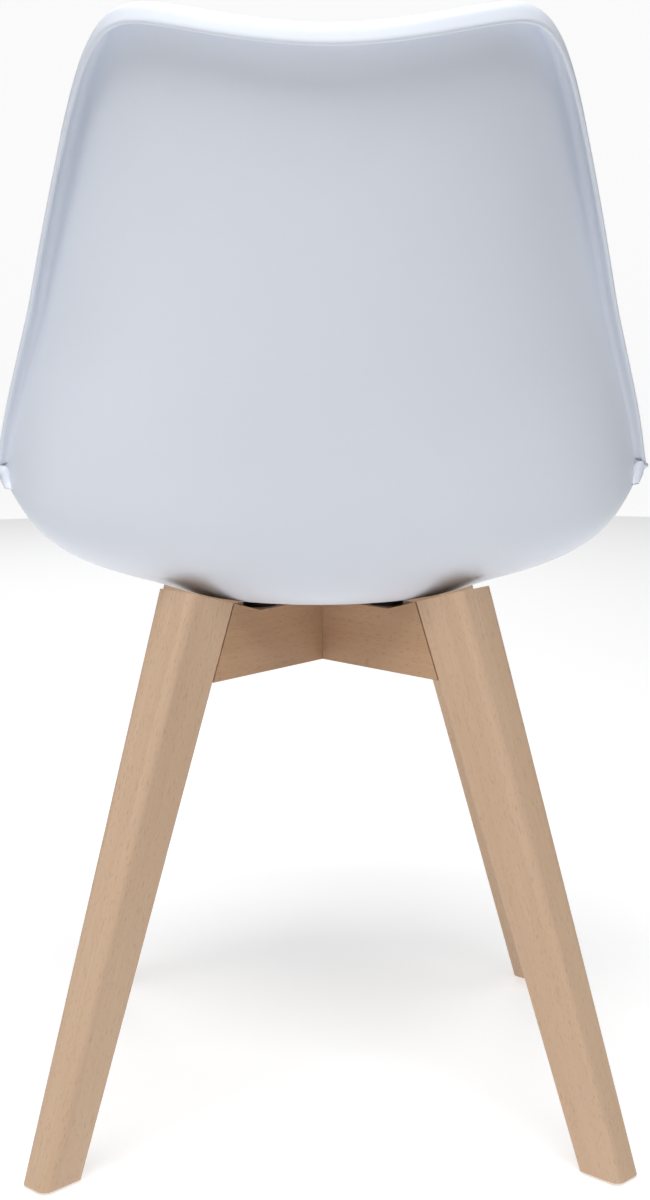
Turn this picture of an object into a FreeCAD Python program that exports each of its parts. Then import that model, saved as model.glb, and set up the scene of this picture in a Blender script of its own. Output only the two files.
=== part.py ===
"""Dining chair: a moulded bucket shell with a padded seat on a cross frame with four splayed legs.

The chair faces -Y and stands on z = 0. Lengths are in millimetres and angles in degrees.
The shell and the pad follow one sheet: a centre line that runs from the front edge, under the
seat and up the back, with a cross section that rises to both sides.
"""
import FreeCAD
import Part
import Sketcher
import math
import os

from FreeCAD import Placement, Rotation, Vector

os.makedirs("parts", exist_ok=True)

# ---------------------------------------------------------------------------------- sizes
SIZES = {
    # centre line of the shell's lower face, by its length from the middle of the seat
    "base_height": 404.5,        # lower face of the shell above the floor, at the middle
    "front_length": 284.0,       # along the sheet from the middle to the front edge
    "back_length": 534.5,        # along the sheet from the middle to the top edge
    "bend_start": 35.0,          # where the seat starts to turn up into the back
    "bend_length": 158.0,        # length of sheet over which it turns
    "bend_angle": 72.9,          # angle of the back above the floor, after the bend
    "back_curl": 1.0,            # further turn between the bend and the top
    "rise_start": 15.0,          # where the seat starts to rise to the front
    "rise_length": 115.0,
    "rise_angle": 16.0,
    "fall_start": 215.0,         # where the front edge starts to fall again
    "fall_length": 80.0,
    "fall_angle": 34.0,
    # half widths of the sheet, and how far its sides rise: a round bowl and a steep edge
    "half_front": 205.0,
    "half_seat": 233.0,
    "half_ear": 242.0,
    "half_back": 199.5,
    "half_top": 149.5,
    "bowl_front": 12.0,
    "bowl_seat": 61.5,
    "bowl_ear": 50.0,
    "bowl_back": 68.0,
    "bowl_top": 54.5,
    "edge_front": 4.0,
    "edge_seat": 28.5,
    "edge_ear": 49.0,
    "edge_back": 18.5,
    "edge_top": 10.5,
    "edge_power_seat": 11.0,     # how late the steep edge sets in: higher is later
    "edge_power_back": 5.0,
    "edge_blend_start": 143.0,   # along the sheet, from the seat's power to the back's
    "edge_blend_length": 160.0,
    "seat_station": 110.0,       # places along the sheet where the sizes above hold
    "ear_width_station": 141.0,
    "ear_bowl_station": 168.0,
    "back_width_station": 324.0,
    "back_bowl_station": 380.0,
    "outline_middle": 60.0,      # where the outline's front half meets its back half
    "corner_front": 5.0,         # powers of the rounded outline: higher is squarer
    "corner_top": 12.5,
    "top_dip": 10.0,             # dip between the two humps of the top edge
    "dip_width": 91.0,
    "flat_radius": 60.0,         # level zone for the mounting, then eased into the bowl
    "flat_blend": 150.0,
    # wall and rim
    "wall": 4.0,
    "lip_radius_ear": 2.5,
    "lip_radius_top": 4.7,
    "lip_turn_ear": 95.0,
    "lip_turn_top": 146.0,
    "lip_tail_ear": 2.0,
    "lip_tail_top": 7.0,
    "lip_blend_start": 131.0,    # along the sheet, from the ears' lip to the top's
    "lip_blend_room": 60.0,      # length under the top edge that has the top's lip
    # mounting of the shell on the frame
    "mount_radius": 69.0,        # the four bolts lie on the diagonals, this far out
    "boss_diameter": 34.0,
    "boss_drop": 0.6,            # how far the bosses stand below the shell
    "boss_sink": 3.4,            # how far they reach up into its wall
    "spacer_thick": 4.0,
    "spacer_diameter": 26.0,
    "bolt_diameter": 6.0,
    "bolt_head_diameter": 11.0,
    "bolt_head_height": 3.6,
    "socket_radius": 2.4,        # hexagon socket in a bolt's head
    "socket_depth": 2.16,
    "hole_clearance": 0.4,       # on the radius of every hole that a bolt passes
    "counterbore_depth": 10.0,
    "counterbore_clearance": 1.0,
    "washer_diameter": 18.0,
    "washer_thick": 1.6,
    "insert_diameter": 12.0,
    "insert_height": 4.2,
    "nut_height": 5.0,
    "close_clearance": 0.05,     # on the radius of dowels, inserts and nails
    # wooden frame
    "leg_width_top": 39.5,
    "leg_width_foot": 28.0,
    "leg_depth_top": 49.5,
    "leg_depth_foot": 36.0,
    "leg_outer_top": 150.5,      # outer edge from the chair's axis, where the top sizes hold
    "leg_outer_foot": 307.0,
    "leg_overrise": 39.5,        # the leg's top sizes hold this far above base_height
    "leg_edge_outer": 7.0,
    "leg_edge_inner": 3.0,
    "rail_height": 48.4,
    "rail_thick": 36.0,
    "flat_margin": 4.0,          # the frame's top is level this far past the spacers
    "top_slope": 17.0,
    "crest_lift": 10.1,          # the rail's end follows the leg up to this far over its top
    "joint_gap": 0.2,            # each side of the half lap, and between rail and leg
    "dowel_diameter": 8.0,
    "dowel_length": 40.0,
    "dowel_low": 16.0,           # lower dowel above the rails' bottom
    "dowel_pitch": 24.0,
    "dowel_end_room": 1.0,
    "glide_diameter": 18.0,
    "glide_thick": 2.0,
    "nail_diameter": 2.4,
    "nail_length": 16.0,
    "nail_recess": 0.6,
    # padded seat
    "pad_front": 262.0,          # along the sheet from the middle to the pad's front edge
    "pad_back": 112.0,
    "pad_half": 198.0,
    "pad_corner": 3.4,
    "pad_thick": 36.0,
    "pad_edge_thick": 12.0,
    "board_thick": 3.0,
    "cover_thick": 1.4,
    "pad_gap": 0.9,
    "pad_screw_radius": 36.0,
    "pad_screw_diameter": 3.6,
    "pad_screw_head": 9.0,
    "pad_screw_head_height": 1.8,
}

doc = FreeCAD.newDocument("dining_chair")
sheet = doc.addObject("Spreadsheet::Sheet", "Sizes")
for row, (alias, value) in enumerate(SIZES.items(), start=1):
    sheet.set("A%d" % row, alias)
    sheet.set("B%d" % row, str(value))
    sheet.setAlias("B%d" % row, alias)
doc.recompute()


def size(alias):
    """One value of the sheet, as a plain number."""
    return float(getattr(sheet, alias))


def blend(first, second, share):
    """Value between two of the sheet's values: the first at share 0, the second at 1."""
    return size(first) + (size(second) - size(first)) * share


# ---------------------------------------------------------------------- the shell's sheet
def ease(ratio):
    """Smooth step from 0 to 1 with level ends: r squared times (3 - 2 r)."""
    ratio = min(max(ratio, 0.0), 1.0)
    return ratio * ratio * (3.0 - 2.0 * ratio)


def end_slope(near, far, near_rise, far_rise):
    """Slope at the end of a monotone curve, from its two nearest spans."""
    slope = ((2.0 * near + far) * near_rise - near * far_rise) / (near + far)
    if slope * near_rise <= 0.0:
        return 0.0
    if near_rise * far_rise <= 0.0 and abs(slope) > 3.0 * abs(near_rise):
        return 3.0 * near_rise
    return slope


def smooth_through(stations, values):
    """A function of position: the monotone cubic through the values at the stations."""
    spans = [b - a for a, b in zip(stations, stations[1:])]
    rises = [(b - a) / span for a, b, span in zip(values, values[1:], spans)]
    slopes = [end_slope(spans[0], spans[1], rises[0], rises[1])]
    for k in range(1, len(spans)):
        before, after = 2.0 * spans[k] + spans[k - 1], spans[k] + 2.0 * spans[k - 1]
        if rises[k - 1] * rises[k] <= 0.0:
            slopes.append(0.0)
        else:
            slopes.append((before + after) / (before / rises[k - 1] + after / rises[k]))
    slopes.append(end_slope(spans[-1], spans[-2], rises[-1], rises[-2]))

    def at(position):
        position = min(max(position, stations[0]), stations[-1])
        k = max(i for i in range(len(spans)) if position >= stations[i])
        t = (position - stations[k]) / spans[k]
        rise = ease(t)
        lead = t * (1.0 - t) * (1.0 - t) * slopes[k] * spans[k]
        trail = t * t * (1.0 - t) * slopes[k + 1] * spans[k]
        return values[k] + (values[k + 1] - values[k]) * rise + lead - trail

    return at


FRONT, BACK = size("front_length"), size("back_length")
EAR_W, EAR_B = size("ear_width_station"), size("ear_bowl_station")
WIDTH_STATIONS = [-FRONT, -size("seat_station"), EAR_W, size("back_width_station"), BACK]
BOWL_STATIONS = [-FRONT, -size("seat_station"), EAR_B, size("back_bowl_station"), BACK]
ZONES = ("front", "seat", "ear", "back", "top")
half_width = smooth_through(WIDTH_STATIONS, [size("half_" + zone) for zone in ZONES])
bowl_rise = smooth_through(BOWL_STATIONS, [size("bowl_" + zone) for zone in ZONES])
edge_rise = smooth_through(BOWL_STATIONS, [size("edge_" + zone) for zone in ZONES])


def line_angle(along):
    """Angle of the centre line above the floor, in radians, at a length along it."""
    bend_end = size("bend_start") + size("bend_length")
    angle = size("bend_angle") * ease((along - size("bend_start")) / size("bend_length"))
    angle += size("back_curl") * ease((along - bend_end) / (BACK - bend_end))
    angle -= size("rise_angle") * ease((-along - size("rise_start")) / size("rise_length"))
    angle += size("fall_angle") * ease((-along - size("fall_start")) / size("fall_length"))
    return math.radians(angle)


STEP = 1.0       # between neighbouring points of the centre line
MARGIN = 40.0    # length of centre line kept beyond each end


def walk(length, direction):
    """Points (y, z) of the centre line, one step apart, from the middle one way."""
    points = [(0.0, size("base_height"))]
    for k in range(int((length + MARGIN) / STEP)):
        angle = line_angle(direction * (k + 0.5) * STEP)
        y, z = points[-1]
        dy, dz = direction * STEP * math.cos(angle), direction * STEP * math.sin(angle)
        points.append((y + dy, z + dz))
    return points


REAR_LINE = walk(BACK, 1.0)
FRONT_LINE = walk(FRONT, -1.0)


def line_point(along):
    """Point (y, z) of the centre line at a length along it."""
    points = REAR_LINE if along >= 0.0 else FRONT_LINE
    place = abs(along) / STEP
    k = min(int(place), len(points) - 2)
    part = place - k
    (y0, z0), (y1, z1) = points[k], points[k + 1]
    return y0 + (y1 - y0) * part, z0 + (z1 - z0) * part


def sheet_point(x, along):
    """Point of the sheet: the centre line's point, raised along its normal by the section.

    The section rises by bowl u^2 + edge u^power, where u is x over the half width, and it is
    level around the middle of the seat, where the frame is bolted on.
    """
    u = abs(x) / half_width(along)
    turn = ease((along - size("edge_blend_start")) / size("edge_blend_length"))
    power = blend("edge_power_seat", "edge_power_back", turn)
    rise = bowl_rise(along) * u * u + edge_rise(along) * u ** power
    angle = line_angle(along)
    y, z = line_point(along)
    bowl = Vector(x, y - rise * math.sin(angle), z + rise * math.cos(angle))
    reach = math.hypot(x, along)
    flat_zone = size("flat_blend") - size("flat_radius")
    share = ease((reach - size("flat_radius")) / flat_zone)
    level = Vector(x, along, size("base_height"))
    return level + (bowl - level) * share


def sheet_normal(x, along):
    """Unit normal of the sheet, on the sitter's side."""
    tiny = 0.5
    across = sheet_point(x + tiny, along) - sheet_point(x - tiny, along)
    up = sheet_point(x, along + tiny) - sheet_point(x, along - tiny)
    return across.cross(up).normalize()


def squircle(p, q, power):
    """A point of the square from -1 to 1 moved onto a rounded square of that power."""
    x = p * (1.0 - 0.5 * abs(q) ** power) ** (1.0 / power)
    y = q * (1.0 - 0.5 * abs(p) ** power) ** (1.0 / power)
    return x, y


def shell_place(p, q):
    """Place (x, along) on the shell's sheet for p and q from -1 to 1."""
    middle = size("outline_middle")
    power = size("corner_front") if q < 0.0 else size("corner_top")
    reach = FRONT + middle if q < 0.0 else BACK - middle
    across, lengthways = squircle(p, q, power)
    along = middle + reach * lengthways
    x = half_width(along) * across
    if q > 0.0:
        dip = size("top_dip") * math.exp(-((x / size("dip_width")) ** 2))
        along -= dip * lengthways ** 6
    return x, along


def pad_place(p, q):
    """Place (x, along) on the sheet for a point of the seat pad."""
    middle = (size("pad_back") - size("pad_front")) / 2.0
    reach = (size("pad_back") + size("pad_front")) / 2.0
    across, lengthways = squircle(p, q, size("pad_corner"))
    along = middle + reach * lengthways
    return size("pad_half") * across * half_width(along) / size("half_seat"), along


# ------------------------------------------------------------------------ surface helpers
def clamped(count, degree=3):
    """Knots and multiplicities of a clamped B-spline with that many poles."""
    inner = count - degree - 1
    knots = [float(k) for k in range(inner + 2)]
    return knots, [degree + 1] + [1] * inner + [degree + 1]


def spline_face(net):
    """Face of a cubic B-spline surface whose poles are the points of a grid."""
    rows, row_mults = clamped(len(net))
    columns, column_mults = clamped(len(net[0]))
    surface = Part.BSplineSurface()
    surface.buildFromPolesMultsKnots(
        net, row_mults, column_mults, rows, columns, False, False, 3, 3)
    return surface.toShape()


def spline_edge(poles):
    """Edge of a cubic B-spline whose poles are given."""
    knots, mults = clamped(len(poles))
    curve = Part.BSplineCurve()
    curve.buildFromPolesMultsKnots(poles, mults, knots, False, 3)
    return curve.toShape()


def closed_solid(faces):
    """One solid from faces that meet edge to edge."""
    skin = Part.Shell(faces)
    skin.sewShape()
    solid = Part.Solid(skin)
    if solid.Volume < 0.0:
        solid.reverse()
    return solid


def borders(net):
    """The four border rows of a grid of points."""
    return [net[0], net[-1], [row[0] for row in net], [row[-1] for row in net]]


def spaced(count, bunched):
    """Numbers from -1 to 1, evenly spaced or bunched towards the ends."""
    even = [-1.0 + 2.0 * k / count for k in range(count + 1)]
    if bunched:
        return [math.sin(math.pi / 2.0 * t) for t in even]
    return even


# --------------------------------------------------------------------------- seat shell
LIP_STEPS = 6         # rows of poles round the lip's turn
ACROSS = spaced(36, True)
ALONG = spaced(60, False)
TINY_STEP = 0.002     # of p or q, to find the outline's direction
INWARD = 0.995        # share of a place's reach that lies just inside the outline


def outline_step(p, q, step):
    """Point of the outline a little further along the side of the square that holds (p, q)."""
    if abs(abs(q) - 1.0) < 1e-9 and abs(p) < 1.0 - 1e-9:
        return sheet_point(*shell_place(p + step * math.copysign(1.0, q), q))
    if abs(abs(q) - 1.0) < 1e-9:
        p_side = math.copysign(1.0 - abs(step), p)
        q_side = math.copysign(1.0 - abs(step), q)
        if step > 0.0:
            return sheet_point(*shell_place(p, q_side))
        return sheet_point(*shell_place(p_side, q))
    return sheet_point(*shell_place(p, q + step))


def lip_rows(places):
    """Rows of poles of the rim's two faces, for places (p, q) along the outline.

    The sheet runs on outwards, turns down about the lip's radius and ends in a short tail.
    Radius, turn and tail grow from the seat and the ears to the top edge.
    """
    outer_rows, inner_rows = [], []
    middle, start = size("outline_middle"), size("lip_blend_start")
    for p, q in places:
        x, along = shell_place(p, q)
        edge = sheet_point(x, along)
        normal = sheet_normal(x, along)
        tangent = outline_step(p, q, TINY_STEP) - outline_step(p, q, -TINY_STEP)
        outward = tangent.cross(normal).normalize()
        inner_along = middle + (along - middle) * INWARD
        if outward.dot(edge - sheet_point(x * INWARD, inner_along)) < 0.0:
            outward = outward * -1.0
        share = ease((along - start) / (BACK - size("lip_blend_room") - start))
        radius = blend("lip_radius_ear", "lip_radius_top", share)
        turn = blend("lip_turn_ear", "lip_turn_top", share)
        tail = blend("lip_tail_ear", "lip_tail_top", share)
        outer, inner = [], []
        for k in range(LIP_STEPS + 1):
            angle = math.radians(turn) * k / LIP_STEPS
            place = edge + outward * (radius * math.sin(angle))
            place -= normal * (radius * (1.0 - math.cos(angle)))
            facing = normal * math.cos(angle) + outward * math.sin(angle)
            outer.append(place)
            inner.append(place + facing * size("wall"))
        ahead = outward * math.cos(math.radians(turn)) - normal * math.sin(math.radians(turn))
        outer += [outer[-1] + ahead * (tail * part) for part in (0.5, 1.0)]
        inner += [inner[-1] + ahead * (tail * part) for part in (0.5, 1.0)]
        outer_rows.append(outer)
        inner_rows.append(inner)
    return outer_rows, inner_rows


def seat_shell_shape():
    """Solid of the shell: two offset faces, the turned rim all round and its end."""
    wall = size("wall")
    outer_net, inner_net = [], []
    for q in ALONG:
        places = [shell_place(p, q) for p in ACROSS]
        outer_net.append([sheet_point(x, along) for x, along in places])
        inner_net.append([sheet_point(x, along) + sheet_normal(x, along) * wall
                          for x, along in places])
    faces = [spline_face(outer_net), spline_face(inner_net)]
    sides = [
        [(p, -1.0) for p in ACROSS],
        [(p, 1.0) for p in ACROSS],
        [(-1.0, q) for q in ALONG],
        [(1.0, q) for q in ALONG],
    ]
    for side in sides:
        outer_rows, inner_rows = lip_rows(side)
        faces.append(spline_face(outer_rows))
        faces.append(spline_face(inner_rows))
        ends = [spline_edge([row[-1] for row in rows]) for rows in (outer_rows, inner_rows)]
        faces.append(Part.makeRuledSurface(ends[0], ends[1]))
    return closed_solid(faces)


# -------------------------------------------------------------------------- padded seat
PAD_GRID = spaced(26, True)


def pad_layer_shape(low, high):
    """Solid between two heights above the sheet; each is a function of (p, q)."""
    nets = []
    for height in (low, high):
        net = []
        for q in PAD_GRID:
            places = [pad_place(p, q) + (height(p, q),) for p in PAD_GRID]
            net.append([sheet_point(x, along) + sheet_normal(x, along) * above
                        for x, along, above in places])
        nets.append(net)
    faces = [spline_face(net) for net in nets]
    for lower, upper in zip(borders(nets[0]), borders(nets[1])):
        faces.append(Part.makeRuledSurface(spline_edge(lower), spline_edge(upper)))
    return closed_solid(faces)


BOARD_LOW = size("wall") + size("pad_gap")
BOARD_HIGH = BOARD_LOW + size("board_thick")
FOAM_LOW = BOARD_HIGH + size("pad_gap")


def foam_high(p, q):
    """Top of the foam: the edge's thickness, crowned to the middle's by (1 - p^4)(1 - q^4)."""
    crown = (1.0 - p ** 4) * (1.0 - q ** 4)
    edge = size("pad_edge_thick")
    return FOAM_LOW + edge + (size("pad_thick") - edge) * crown


def cover_low(p, q):
    """Lower face of the cover, a gap above the foam."""
    return foam_high(p, q) + size("pad_gap")


def cover_high(p, q):
    """Upper face of the cover."""
    return cover_low(p, q) + size("cover_thick")


# --------------------------------------------------------------- objects of the document
RAIL_TOP = "(Sizes.base_height - Sizes.boss_drop - Sizes.spacer_thick)"
RAIL_BOTTOM = "(%s - Sizes.rail_height)" % RAIL_TOP
RAIL_FLAT = "(Sizes.mount_radius + Sizes.spacer_diameter / 2 + Sizes.flat_margin)"
BORE_ROOF = "(%s + Sizes.counterbore_depth)" % RAIL_BOTTOM
HEAD_TOP = "(%s - Sizes.washer_thick)" % BORE_ROOF
HOLE = "(Sizes.bolt_diameter / 2 + Sizes.hole_clearance)"
COUNTERBORE = "(Sizes.washer_diameter / 2 + Sizes.counterbore_clearance)"
INNER_FOOT = "(Sizes.leg_outer_foot - Sizes.leg_depth_foot)"
INNER_TOP = "(Sizes.leg_outer_top - Sizes.leg_depth_top)"
LEG_TOP = "(Sizes.base_height + Sizes.leg_overrise)"
LEAN_IN = "((%s - %s) / (%s - Sizes.glide_thick))" % (INNER_FOOT, INNER_TOP, LEG_TOP)
FOOT_MIDDLE = "(Sizes.leg_outer_foot - Sizes.leg_depth_foot / 2)"
BOSS_LOW = "(Sizes.base_height - Sizes.boss_drop)"
INSERT_HOLE = "(Sizes.insert_diameter / 2 + Sizes.close_clearance)"
PAD_SCREW_HOLE = "(Sizes.pad_screw_diameter / 2 + Sizes.close_clearance)"
MOUNT = "(Sizes.mount_radius)"
DIAGONALS = {"rear_right": 45.0, "rear_left": 135.0, "front_left": 225.0, "front_right": 315.0}
BETWEEN_LEGS = 45.0    # from a diagonal to the straight direction between two legs


def inner_at(height):
    """Expression of a leg's inner face's distance from the axis, at a height."""
    return "(%s - (%s - Sizes.glide_thick) * %s)" % (INNER_FOOT, height, LEAN_IN)


def value_of(text):
    """Number that an expression of the sheet's values comes to."""
    answer = sheet.evalExpression(text.replace("Sizes.", ""))
    return float(getattr(answer, "Value", answer))


SHELL_BOX = seat_shell_shape().BoundBox
CENTRE_SHIFT = -(SHELL_BOX.YMin + SHELL_BOX.YMax) / 2.0


def placed(turn=0.0):
    """Placement of a piece: turned about the chair's axis, then moved with the whole chair."""
    return Placement(Vector(0.0, CENTRE_SHIFT, 0.0), Rotation(Vector(0, 0, 1), turn))


def feature(label, shape, turn=0.0):
    """Object that carries a shape made from the sheet's values."""
    made = doc.addObject("Part::Feature", label)
    made.Shape = shape
    made.Placement = placed(turn)
    return made


def stand_at(made, out, turn, bottom):
    """Bind a piece's place: a distance out from the axis, turned round it, and a height."""
    made.setExpression("Placement.Base.x", "%s * %.12f" % (out, math.cos(math.radians(turn))))
    made.setExpression("Placement.Base.y", "%s * %.12f" % (out, math.sin(math.radians(turn))))
    made.setExpression("Placement.Base.z", bottom)


def cylinder(name, radius, height, bottom, out="0", turn=0.0):
    """Upright cylinder bound to the sheet."""
    made = doc.addObject("Part::Cylinder", name)
    made.setExpression("Radius", radius)
    made.setExpression("Height", height)
    stand_at(made, out, turn, bottom)
    return made


def hexagon(name, radius, height, bottom, out="0", turn=0.0):
    """Upright hexagonal prism bound to the sheet."""
    made = doc.addObject("Part::Prism", name)
    made.Polygon = 6
    made.setExpression("Circumradius", radius)
    made.setExpression("Height", height)
    stand_at(made, out, turn, bottom)
    return made


def cut(name, base, tools):
    """Base with the tools taken away."""
    result = base
    for k, tool in enumerate(tools):
        step = doc.addObject("Part::Cut", "%s_cut%d" % (name, k))
        step.Base = result
        step.Tool = tool
        result = step
    return result


def fuse(name, pieces):
    """Pieces joined into one."""
    joined = doc.addObject("Part::MultiFuse", name + "_joined")
    joined.Shapes = pieces
    joined.Refine = True
    return joined


def group(label, members):
    """Identical pieces kept together as one node of separate solids."""
    made = doc.addObject("Part::Compound", label)
    made.Links = members
    made.Placement = placed()
    return made


def named(made, label):
    """The finished piece, labelled and moved with the chair."""
    made.Label = label
    made.Placement = placed()
    return made


def plane(body, role):
    """One of a body's own origin planes."""
    return [item for item in body.Origin.OriginFeatures if item.Role == role][0]


def sketch_on(body, name, role, offset="0"):
    """Sketch on an origin plane of its body, moved along the plane's normal."""
    made = body.newObject("Sketcher::SketchObject", name)
    made.AttachmentSupport = [(plane(body, role), "")]
    made.MapMode = "FlatFace"
    made.setExpression("AttachmentOffset.Base.z", offset)
    return made


def pin_point(made, curve, corner, label, x, y):
    """Tie one point of a sketch to two expressions of the sheet."""
    for kind, text, suffix in (("DistanceX", x, "x"), ("DistanceY", y, "y")):
        constraint = Sketcher.Constraint(kind, -1, 1, curve, corner, value_of(text))
        index = made.addConstraint(constraint)
        made.renameConstraint(index, label + suffix)
        made.setExpression("Constraints." + label + suffix, text)


def polygon(made, corners):
    """Closed outline through corners, each an (x, y) pair of expressions."""
    points = [Vector(value_of(x), value_of(y), 0) for x, y in corners]
    count = len(corners)
    for k in range(count):
        made.addGeometry(Part.LineSegment(points[k], points[(k + 1) % count]), False)
    for k in range(count):
        made.addConstraint(Sketcher.Constraint("Coincident", k, 2, (k + 1) % count, 1))
    for k, (x, y) in enumerate(corners):
        pin_point(made, k, 1, "corner%d" % k, x, y)


def circles(made, centres, radius):
    """Circles of one radius, each centre an (x, y) pair of expressions."""
    for k, (x, y) in enumerate(centres):
        centre = Vector(value_of(x), value_of(y), 0)
        made.addGeometry(Part.Circle(centre, Vector(0, 0, 1), value_of(radius)), False)
        pin_point(made, k, 3, "centre%d" % k, x, y)
        index = made.addConstraint(Sketcher.Constraint("Radius", k, value_of(radius)))
        made.renameConstraint(index, "radius%d" % k)
        made.setExpression("Constraints.radius%d" % k, radius)


def rectangle(made, low_x, high_x, half_y):
    """Rectangle from low_x to high_x, symmetric about the sketch's X axis."""
    polygon(made, [(low_x, "-" + half_y), (high_x, "-" + half_y),
                   (high_x, half_y), (low_x, half_y)])


def pocket(body, name, profile, length, backwards=False, both_ways=False):
    """Pocket of a profile, that long, checked to have taken something away."""
    before = body.Tip.Shape.Volume
    made = body.newObject("PartDesign::Pocket", name)
    made.Profile = profile
    made.setExpression("Length", length)
    made.Reversed = backwards
    made.Midplane = both_ways
    doc.recompute()
    if not made.Shape.Volume < before - 1.0:
        raise ValueError("the pocket %s cut nothing" % name)
    return made


def slope_at(far):
    """Expression of the height of the frame's sloping top, at a distance from the axis."""
    return "(%s + (%s - %s) * tan(Sizes.top_slope * 1 deg))" % (RAIL_TOP, far, RAIL_FLAT)


def upright_slope_corners(far):
    """Corners of the room above the frame's sloping top, in the radial plane."""
    roof = "(%s * 2)" % LEG_TOP
    return [(RAIL_FLAT, RAIL_TOP), (far, slope_at(far)), (far, roof), (RAIL_FLAT, roof)]


DOWEL_LOW = "(%s + Sizes.dowel_low)" % RAIL_BOTTOM
DOWEL_HIGH = "(%s + Sizes.dowel_pitch)" % DOWEL_LOW
DOWEL_MIDDLE = "(%s + Sizes.dowel_pitch / 2)" % DOWEL_LOW
JOINT_RADIUS = inner_at(DOWEL_MIDDLE)
DOWEL_HOLE = "(Sizes.dowel_diameter / 2 + Sizes.close_clearance)"
DOWEL_REACH = "(Sizes.dowel_length / 2 + Sizes.dowel_end_room)"
LONG_EDGE = 0.8       # share of the leg's height that its four corner edges are longer than
CORNER_EDGE = 0.38    # share of the leg's width that they lie further out than


def round_edges(body, name, radius, outer):
    """Round the two long edges of a leg on its outer or its inner side."""
    base = body.Tip
    height, width = value_of(LEG_TOP), value_of("Sizes.leg_width_top")
    middle = value_of(inner_at("(%s / 2)" % LEG_TOP)) + value_of("Sizes.leg_depth_foot") / 2.0
    chosen = []
    for index, edge in enumerate(base.Shape.Edges, start=1):
        is_long = edge.Length > height * LONG_EDGE
        is_corner = abs(edge.CenterOfMass.y) > width * CORNER_EDGE
        if is_long and is_corner and (edge.CenterOfMass.x > middle) == outer:
            chosen.append("Edge%d" % index)
    rounding = body.newObject("PartDesign::Fillet", name)
    rounding.Base = (base, chosen)
    rounding.setExpression("Radius", radius)
    doc.recompute()


def leg(corner, turn):
    """Tapered leg: a loft between foot and top, rounded edges, sloping top, dowel holes."""
    body = doc.addObject("PartDesign::Body", "leg_" + corner)
    foot = sketch_on(body, "foot", "XY_Plane", "Sizes.glide_thick")
    rectangle(foot, INNER_FOOT, "Sizes.leg_outer_foot", "(Sizes.leg_width_foot / 2)")
    top = sketch_on(body, "top", "XY_Plane", LEG_TOP)
    rectangle(top, INNER_TOP, "Sizes.leg_outer_top", "(Sizes.leg_width_top / 2)")
    doc.recompute()
    loft = body.newObject("PartDesign::AdditiveLoft", "taper")
    loft.Profile = foot
    loft.Sections = [top]
    loft.Ruled = True
    doc.recompute()
    slope = sketch_on(body, "slope", "XZ_Plane")
    polygon(slope, upright_slope_corners("(Sizes.leg_outer_foot)"))
    pocket(body, "sloping_top", slope, "(Sizes.leg_width_top * 2)", both_ways=True)
    holes = sketch_on(body, "dowel_places", "YZ_Plane", "(%s + %s)" % (JOINT_RADIUS, DOWEL_REACH))
    circles(holes, [("0", DOWEL_LOW), ("0", DOWEL_HIGH)], DOWEL_HOLE)
    pocket(body, "dowel_holes", holes, "(Sizes.dowel_length * 2)")
    nail = sketch_on(body, "nail_place", "XY_Plane", "Sizes.glide_thick")
    circles(nail, [(FOOT_MIDDLE, "0")], "(Sizes.nail_diameter / 2 + Sizes.close_clearance)")
    pocket(body, "nail_hole", nail, "(Sizes.nail_length)", backwards=True)
    round_edges(body, "outer_edges", "Sizes.leg_edge_outer", True)
    round_edges(body, "inner_edges", "Sizes.leg_edge_inner", False)
    body.Label = "leg_" + corner
    body.Placement = placed(turn)
    return body


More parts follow.
